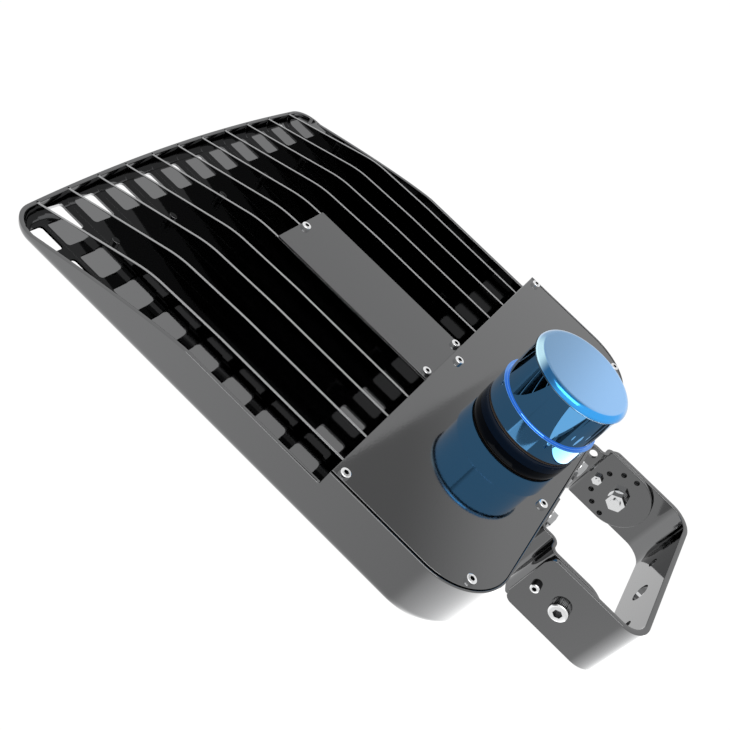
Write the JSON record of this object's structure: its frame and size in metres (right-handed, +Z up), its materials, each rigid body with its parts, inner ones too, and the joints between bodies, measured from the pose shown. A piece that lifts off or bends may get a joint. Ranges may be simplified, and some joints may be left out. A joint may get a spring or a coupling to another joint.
{
  "type": "parking lot light",
  "caption": "Outdoor area light: finned rectangular die-cast head on a tilting yoke, with a driver compartment at the rear and a twist-lock photocell on top.",
  "frame": {"origin": "centre of the yoke base's centre bore, on the outer face of the base", "axes": "+X across the head, +Y from the yoke base to the front rim, +Z up, away from the lenses"},
  "size_m": [0.351, 0.4675, 0.121],
  "materials": {
    "casting": "gloss dark grey powder coat on die-cast aluminium",
    "sheet": "gloss dark grey powder coat on steel sheet",
    "cover": "gloss dark grey powder coat on cast and sheet aluminium",
    "steel": "bright stainless steel",
    "rubber": "black silicone rubber",
    "driver_case": "plain aluminium case",
    "black_plastic": "black moulded plastic",
    "white_plastic": "white moulded plastic",
    "board": "white solder resist",
    "led": "yellow phosphor",
    "lens": "clear optical polycarbonate",
    "brass": "plain brass",
    "green_board": "green solder resist",
    "dome": "blue translucent polycarbonate"
  },
  "bodies": {
    "yoke": {"yoke": "sheet", "pivot_bolts": "steel", "pivot_washers": "steel", "pivot_nuts": "steel", "index_bolts": "steel", "index_nuts": "steel"},
    "head": {"left_ear": "sheet", "right_ear": "sheet", "ear_bolts": "steel", "ear_washers": "steel", "housing": "casting", "cable_grommet": "rubber", "wireway_grommet": "rubber", "wireway_cover": "cover", "wireway_cover_screws": "steel", "driver_cover": "cover", "driver_cover_gasket": "rubber", "driver_cover_screws": "steel", "led_driver": "driver_case", "led_driver_screws": "steel", "surge_protector": "black_plastic", "terminal_block": "white_plastic", "led_board": "board", "leds": "led", "lens_gasket": "rubber", "lens_panel": "lens", "lens_frame": "cover", "lens_screws": "steel"},
    "receptacle": {"receptacle": "black_plastic", "receptacle_gasket": "rubber", "receptacle_ring": "black_plastic", "receptacle_contacts": "brass"},
    "photocell": {"photocell_base": "black_plastic", "photocell_gasket": "rubber", "photocell_blades": "brass", "photocell_board": "green_board", "photocell_dome": "dome"}
  },
  "joints": [
    {"name": "tilt", "type": "hinge", "parent": "yoke", "child": "head", "pos_m": [0, 0.0495, 0], "axis": [1, 0, 0], "range_deg": [-90, 90]},
    {"name": "receptacle_turn", "type": "hinge", "parent": "head", "child": "receptacle", "pos_m": [0, 0.1425, 0.04], "axis": [0, 0, 1], "range_deg": [-175, 175]},
    {"name": "photocell_twist", "type": "hinge", "parent": "receptacle", "child": "photocell", "pos_m": [0, 0.1425, 0.05], "axis": [0, 0, 1], "range_deg": [0, 35]}
  ]
}
